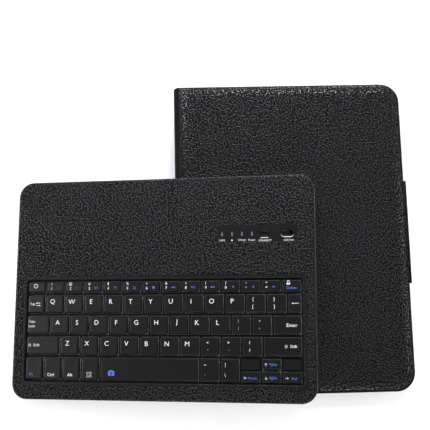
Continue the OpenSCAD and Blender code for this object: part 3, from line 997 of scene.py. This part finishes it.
# boxes, in the panel's own frame, of each separate solid of a node
def solidBoxes(name):
    deselect()
    copy = copyOf(nodes[name])
    copy.parent = None
    copy.matrix_world = Matrix.Identity(4)
    startEdit(copy)
    mergeDoubles()
    bpy.ops.mesh.separate(type="LOOSE")
    endEdit()
    inverse = panelPlace.inverted()
    boxes = []
    for part in list(bpy.context.selected_objects):
        boxes.append(spanOf([inverse @ vertex.co for vertex in part.data.vertices]))
        bpy.data.objects.remove(part, do_unlink=True)
    return sorted(boxes, key=lambda box: (-round(box[0].y / mm), box[0].x))


lightBoxes = solidBoxes("led_lenses")
connectBox = solidBoxes("connect_button")[0]
sliderBox = solidBoxes("power_slider")[0]
slideWay = joints["power_slide"]["range_m"][1]
sliderMiddle = sliderBox[0].x + (sliderBox[1].x - sliderBox[0].x) / 2 + slideWay / 2
connectHalf = (connectBox[1].x - connectBox[0].x) / 2
controlBoxes = [connectBox, (Vector((sliderMiddle - connectHalf, sliderBox[0].y, sliderBox[0].z)),
                             Vector((sliderMiddle + connectHalf, sliderBox[1].y, sliderBox[1].z)))]
makeShell(panelShape)
makeDeck(panelShape)
print("panel done")


# controls on the indicator field
controlShape = {"round": 0.5 * mm, "dish": 0.15 * mm, "ribs": 3, "ribWidth": 0.35 * mm}


def makeControls(shape):
    for name, node, box in (("connectButton", "connect_button", connectBox),
                            ("powerSlider", "power_slider", sliderBox)):
        lo, hi = box
        knob = addOval(name, tuple(lo), (hi.x, hi.y, hi.z - shape["round"]))
        insetSteps(knob, rollSteps(shape["round"], 4))
        scaledRings(knob, [(0.5 * mm, shape["dish"])])
        if node == "power_slider":
            middle = (lo + hi) / 2
            for i in range(shape["ribs"]):
                x = middle.x + (i - 1) * 3 * shape["ribWidth"]
                cut = addBlock("rib", (x - shape["ribWidth"] / 2, lo.y + mm, hi.z - 0.4 * mm),
                               (x + shape["ribWidth"] / 2, hi.y - mm, hi.z + mm))
                cutAway(knob, cut)
        settle(knob, panelPlace)
        tidyMesh(knob, 40)
        finishPiece(knob, node, finishes["button"], "button_plastic", node)


makeControls(controlShape)


# printed marks
markShape = {"film": 0.02 * mm, "curveSteps": 2}


# text set flat on the panel, its middle at (x, y); size is the height of a capital
def addMark(text, x, y, size, height, ink="white", weight=-0.002):
    deselect()
    bpy.ops.object.text_add()
    mark = bpy.context.object
    mark.data.body = text
    mark.data.size = size / 0.7
    mark.data.align_x = "CENTER"
    mark.data.resolution_u = markShape["curveSteps"]
    mark.data.offset = weight * mark.data.size
    mark.data.extrude = markShape["film"] / 2
    activate(mark)
    bpy.ops.object.convert(target="MESH")
    mark = bpy.context.object
    lo, hi = spanOf([vertex.co for vertex in mark.data.vertices])
    mark.location = (x - (lo.x + hi.x) / 2, y - (lo.y + hi.y) / 2, height)
    applyPlace()
    paint(mark, finishes[ink])
    return mark


# a printed bar or underline
def addBar(x, y, width, depth, height, ink="white", roundness=0.45):
    film = markShape["film"] / 2
    bar = roundBlock("bar", (x - width / 2, y - depth / 2, height - film),
                     (x + width / 2, y + depth / 2, height + film), min(width, depth) * roundness, 3)
    paint(bar, finishes[ink])
    return bar


# a left or right arrow with a long shaft
def addLongArrow(text, x, y, length, height):
    way, headText = (-1, "◀") if text == "⟵" else (1, "▶")
    shaft = addBar(x - way * 0.3 * mm, y, length - 0.6 * mm, 0.3 * mm, height)
    head = addMark(headText, x + way * (length / 2 - 0.6 * mm), y, 1.1 * mm, height)
    return joinAll("longArrow", [shaft, head])


# a small camera: a body with a hump and a lens ring
def addCameraSign(x, y, height, ink):
    body = addBar(x, y, 5.2 * mm, 3.7 * mm, height, ink, 0.15)
    lensY = y - 0.1 * mm
    deselect()
    bpy.ops.mesh.primitive_cylinder_add(vertices=28, radius=1.2 * mm, depth=mm, location=(x, lensY, height))
    cutAway(body, bpy.context.object)
    hump = addBar(x, y + 2.1 * mm, 2.0 * mm, 0.8 * mm, height, ink, 0.2)
    lens = addBar(x, lensY, 1.1 * mm, 1.1 * mm, height, ink)
    return [body, hump, lens]


# keycaps
capShape = {
    "thickness": 2.6 * mm,
    "corner": 1.1 * mm,
    "sideLean": 0.14 * mm,     # how far each side leans in
    "frontLean": 0.75 * mm,    # how far the front side leans in
    "edge": 0.13 * mm,         # rounding of the top edge
    "rim": 1.3 * mm,           # flat rim round the dished middle
    "dish": 0.06 * mm,
    "stemRadius": 1.0 * mm,
}
capTemplates = {}


# a keycap with leaning sides and a faintly dished top, its front left corner at the origin
def capTemplate(width, depth, lowZ, capZ, topZ, shape):
    key = (round(width / mm, 2), round(depth / mm, 2))
    if key in capTemplates:
        return capTemplates[key]
    cap = addBlock("capTemplate", (0, 0, capZ), (width, depth, topZ))
    roundUprights(cap, shape["corner"], 4)
    startEdit(cap)
    pick(cap, "FACE", facesUp)
    lean = shape["sideLean"]
    front = shape["frontLean"]
    bpy.ops.transform.resize(value=((width - 2 * lean) / width, (depth - lean - front) / depth, 1),
                             center_override=(width / 2, depth / 2, topZ))
    bpy.ops.transform.translate(value=(0, (front - lean) / 2, 0))
    endEdit()
    bevelEdges(cap, shape["edge"], 3, lambda edge: min(v.co.z for v in edge.verts) > topZ - 0.001 * mm)
    scaledRings(cap, [(shape["rim"], shape["dish"] / 2), (shape["rim"], shape["dish"] / 2)])
    deselect()
    bpy.ops.mesh.primitive_cylinder_add(vertices=20, radius=shape["stemRadius"], depth=capZ - lowZ,
                                        location=(width / 2, depth / 2, (capZ + lowZ) / 2))
    stem = bpy.context.object
    applyPlace()
    cap = joinAll("capTemplate", [cap, stem])
    tidyMesh(cap, 30)
    paint(cap, finishes["key"])
    cap.hide_render = True
    capTemplates[key] = cap
    return cap


def placeCap(box, shape):
    lo, hi = box
    capZ = hi.z - shape["thickness"]
    cap = copyOf(capTemplate(hi.x - lo.x, hi.y - lo.y, lo.z, capZ, hi.z, shape))
    cap.hide_render = False
    cap.location = (lo.x, lo.y, 0)
    activate(cap)
    applyPlace()
    return cap


# a key's marks are rows of (text, from its left edge, from its back edge, size or length, ink), in mm
letterPlace = (5.3, 5.2, 3.8)
cameraPlace = (8.9, 11.9)
keyRows = {
    "modifier_keys": [
        [("Caps", 3.5, 4.6, 2.0), ("Lock", 3.5, 8.1, 2.0)],
        [("⇧", 2.2, 6.7, 2.2), ("Shift", 8.0, 6.7, 2.2)],
        [("⇧", 17.0, 6.7, 2.2), ("Shift", 22.8, 6.7, 2.2)],
        [("Fn", 4.4, 13.2, 2.5, "blue")],
        [("Ctrl", 5.3, 13.5, 2.5)],
        [("Alt", 5.9, 13.5, 2.5)],
        [("○", x, y, 1.7) for y in (14.45, 11.95) for x in (4.95, 7.45)],
    ],
    "editing_keys": [
        [("Tab", 3.4, 7.0, 2.0), ("⟵", 8.3, 6.2, 3.8), ("⟶", 8.6, 8.2, 3.8)],
        [("⟵", 5.0, 7.1, 5.6)],
        [("Enter", 13.9, 7.2, 2.7)],
    ],
    "arrow_keys": [
        [(arrow, 2.8, y, 2.3), (word, 8.4, y, 1.95, "blue")]
        for arrow, word, y in (("↑", "PgUp", 4.0), ("←", "Home", 4.7), ("↓", "PgDn", 4.7), ("→", "End", 4.7))
    ],
}

# the number row: a sign over a digit, and a function sign
numberMarks = [
    ("○", None, None), ("!", "1", "☼"), ("@", "2", "☼"), ("#", "3", "⌨"), ("$", "4", "❐"), ("%", "5", "❏"),
    ("^", "6", "◉"), ("&", "7", "◀◀"), ("*", "8", "▶▮"), ("(", "9", "▶▶"), (")", "0", "◀"),
    ("_", "-", "◀›"), ("+", "=", "◀»"), ("🔒", None, "Delete"),
]
pairs = ["{[", "}]", ":;", "\"'", "<,", ">.", "?/", "~`", "|\\"]


def numberRows(box, upper, lower, blue):
    if blue is None:
        return [(upper, 5.7, (box[1].y - box[0].y) / mm / 2 - 1.0, 3.3)]
    if lower is None:
        return [(upper, 4.6, 2.0, 2.7), (blue, 7.1, 5.9, 2.05, "blue")]
    size = 1.25 if blue[0] in "◀▶" else 1.9
    return [(upper, 3.5, 1.75, 2.1), (lower, 3.5, 5.3, 2.3),
            (blue, 9.2, 5.0, size, "dim" if blue == "☼" else "blue")]


# two signs one over the other; the keys of the front row are deeper
def pairRows(box, upper, lower):
    isDeep = box[1].y - box[0].y > 16 * mm
    x, upperY, lowerY = (3.4, 4.6, 12.4) if isDeep else (5.2, 4.0, 9.8)
    return [(upper, x, upperY, 2.465), (lower, x, lowerY, 2.465)]


def rowsFor(node, boxes):
    if node == "number_keys":
        return [numberRows(box, *texts) for box, texts in zip(boxes, numberMarks)]
    if node == "punctuation_keys":
        return [pairRows(box, *texts) for box, texts in zip(boxes, pairs)]
    return keyRows[node]


# place on a key, measured in mm from its left and back edges
def onKey(box, fromLeft, fromBack):
    return box[0].x + fromLeft * mm, box[1].y - fromBack * mm


def printKey(box, rows, height):
    return [(addLongArrow if text in "⟵⟶" else addMark)(text, *onKey(box, x, y), size * mm, height, *ink)
            for text, x, y, size, *ink in rows]


def finishKey(name, parts, node):
    key = joinAll(name, parts)
    settle(key, panelPlace)
    finishPiece(key, node, None, "key_plastic", node)


def makeKeys(shape):
    space = nodeSpan("space_bar", panelPlace)
    height = space[1].z + markShape["film"] / 2
    for name in [name for name in nodes if name.startswith("key_") and len(name) == 5]:
        box = nodeSpan(name, panelPlace)
        marks = printKey(box, [(name[-1].upper(), *letterPlace, "white", -0.005)], height)
        finishKey("cap_" + name[-1], [placeCap(box, shape)] + marks, name)
    for node in ("number_keys", "punctuation_keys", *keyRows):
        boxes = solidBoxes(node)
        parts = [placeCap(box, shape) for box in boxes]
        for box, rows in zip(boxes, rowsFor(node, boxes)):
            parts += printKey(box, rows, height)
        finishKey("caps_" + node, parts, node)
    camera = addCameraSign(*onKey(space, *cameraPlace), height, "blue")
    finishKey("cap_space", [placeCap(space, shape)] + camera, "space_bar")
    for template in capTemplates.values():
        bpy.data.objects.remove(template, do_unlink=True)


makeKeys(capShape)
print("keys done")


# words on the indicator field, and white marks painted as highlights on the rims of its two control holes
fieldShape = {
    "wordSize": 1.5 * mm,
    "dotSize": 1.2 * mm,
    "lightWords": ("CAPS", "●", "Charge", "Power"),
    "wordDrop": 4.9 * mm,                   # from a light down to its word
    "controlWords": (("CONNECT", 0.5 * mm), ("OFF/ON", 1.2 * mm)),    # each with its shift to the right
    "controlDrop": 3.1 * mm,                # from the controls down to their words
    # white strip under the connect button: a painted highlight on the rim of its hole
    "strip": (6.2 * mm, 0.5 * mm),
    "stripDrop": 0.85 * mm,
    # white crescent by the slider: a painted highlight on the rim of its hole
    "crescent": 0.5 * mm,
    "crescentNear": (0.3 * mm, 0.75 * mm, 0),    # how far it stands out at its near left corner
    "crescentFar": (0.5 * mm, 0.3 * mm, 0),
}


# a white crescent along the near side of an oval, painted as the highlight on the rim of a control's hole
def addCrescentHighlight(lo, hi, width, height):
    film = markShape["film"] / 2
    outer = addOval("crescent", (lo.x, lo.y, height - film), (hi.x, hi.y, height + film))
    inner = addOval("inner", (lo.x - width / 2, lo.y, height - mm),
                    (hi.x + width / 2, hi.y + width, height + mm))
    settle(inner, Matrix.Translation((0, width, 0)))
    cutAway(outer, inner)
    paint(outer, finishes["white"])
    return outer


def makeFieldPrintAndHighlights(shape):
    height = labelHi.z + markShape["film"] / 2
    marks = []
    for (lo, hi), word in zip(lightBoxes, shape["lightWords"]):
        size = shape["dotSize"] if word == "●" else shape["wordSize"]
        marks.append(addMark(word, (lo.x + hi.x) / 2, (lo.y + hi.y) / 2 - shape["wordDrop"], size, height))
    wordLine = connectBox[0].y - shape["controlDrop"]
    for (lo, hi), (word, shift) in zip(controlBoxes, shape["controlWords"]):
        marks.append(addMark(word, (lo.x + hi.x) / 2 + shift, wordLine, shape["wordSize"], height))
    (lo, hi), (slotLo, slotHi) = controlBoxes
    # painted highlight: a white strip on the rim under the connect button
    marks.append(addBar((lo.x + hi.x) / 2, lo.y - shape["stripDrop"], *shape["strip"], height))
    # painted highlight: a white crescent on the near rim of the slider's hole
    marks.append(addCrescentHighlight(slotLo - Vector(shape["crescentNear"]), slotHi + Vector(shape["crescentFar"]),
                             shape["crescent"], height))
    field = joinAll("fieldPrint", marks)
    settle(field, panelPlace)
    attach(field, "keyboard")


makeFieldPrintAndHighlights(fieldShape)


# stage, light and camera
stageLook = {"floor": (0.93, 0.93, 0.935), "sky": 0.85, "overhead": 0.06}


def makeStage(look):
    deselect()
    bpy.ops.mesh.primitive_plane_add(size=8, location=(0, 0, 0))
    floor = bpy.context.object
    floor.name = "floor"
    material, tree, shader = newMaterial("studioFloor")
    grain = noiseNode(tree, objectPlace(tree), 8, 3.0)
    setSurface(tree, shader, mottled(tree, grain, look["floor"], 0.97), 0.9, 0.1)
    paint(floor, material)
    world = bpy.data.worlds.new("studio")
    bpy.context.scene.world = world
    world.use_nodes = True
    background = world.node_tree.nodes["Background"]
    background.inputs["Color"].default_value = (1, 1, 1, 1)
    # the studio is dark overhead and pale all round
    tree = world.node_tree
    heading = tree.nodes.new("ShaderNodeSeparateXYZ")
    tree.links.new(tree.nodes.new("ShaderNodeTexCoord").outputs["Generated"], heading.inputs["Vector"])
    sky = rangeNode(tree, heading.outputs["Z"], 0.35, 0.9, look["sky"], look["overhead"])
    tree.links.new(sky, background.inputs["Strength"])


def addSoftbox(name, place, aim, size, power, tint=(1, 1, 1)):
    deselect()
    bpy.ops.object.light_add(type="AREA", location=place)
    lamp = bpy.context.object
    lamp.name = name
    lamp.data.shape = "RECTANGLE"
    lamp.data.size = size[0]
    lamp.data.size_y = size[1]
    lamp.data.energy = power
    lamp.data.color = tint
    lamp.rotation_euler = (Vector(aim) - Vector(place)).to_track_quat("-Z", "Y").to_euler()
    return lamp


def makeLight():
    aim = (-0.06, 0.0, 0.0)
    addSoftbox("backLight", (-0.05, 1.1, 1.22), aim, (1.3, 0.45), 36, (0.93, 0.96, 1))
    addSoftbox("leftLight", (-1.5, 0.1, 0.7), aim, (0.7, 1.4), 10)
    addSoftbox("rightLight", (1.4, 0.1, 0.7), aim, (0.7, 1.4), 8)
    addSoftbox("frontLight", (-0.05, -1.4, 0.8), aim, (1.6, 0.6), 28)


cameraLook = {"azimuth": -2.9, "elevation": 81.3, "roll": -4.3, "distance": 0.647, "lens": 63.9,
              "aim": (-0.0628, 0.021, 0.0)}


def makeCamera(look):
    azimuth = math.radians(look["azimuth"])
    elevation = math.radians(look["elevation"])
    forward = Vector((math.sin(azimuth) * math.cos(elevation), math.cos(azimuth) * math.cos(elevation),
                      -math.sin(elevation)))
    right = forward.cross(Vector((0, 0, 1))).normalized()
    up = right.cross(forward)
    roll = math.radians(look["roll"])
    turnedRight = math.cos(roll) * right + math.sin(roll) * up
    turnedUp = math.cos(roll) * up - math.sin(roll) * right
    deselect()
    bpy.ops.object.camera_add()
    camera = bpy.context.object
    spot = Vector(look["aim"]) - look["distance"] * forward
    camera.matrix_world = placeFrom(turnedRight, turnedUp, -forward, spot)
    camera.data.lens = look["lens"]
    camera.data.sensor_width = 36
    camera.data.clip_start = 0.01
    bpy.context.scene.camera = camera


makeStage(stageLook)
makeLight()
makeCamera(cameraLook)
bpy.context.scene.view_settings.view_transform = "Standard"
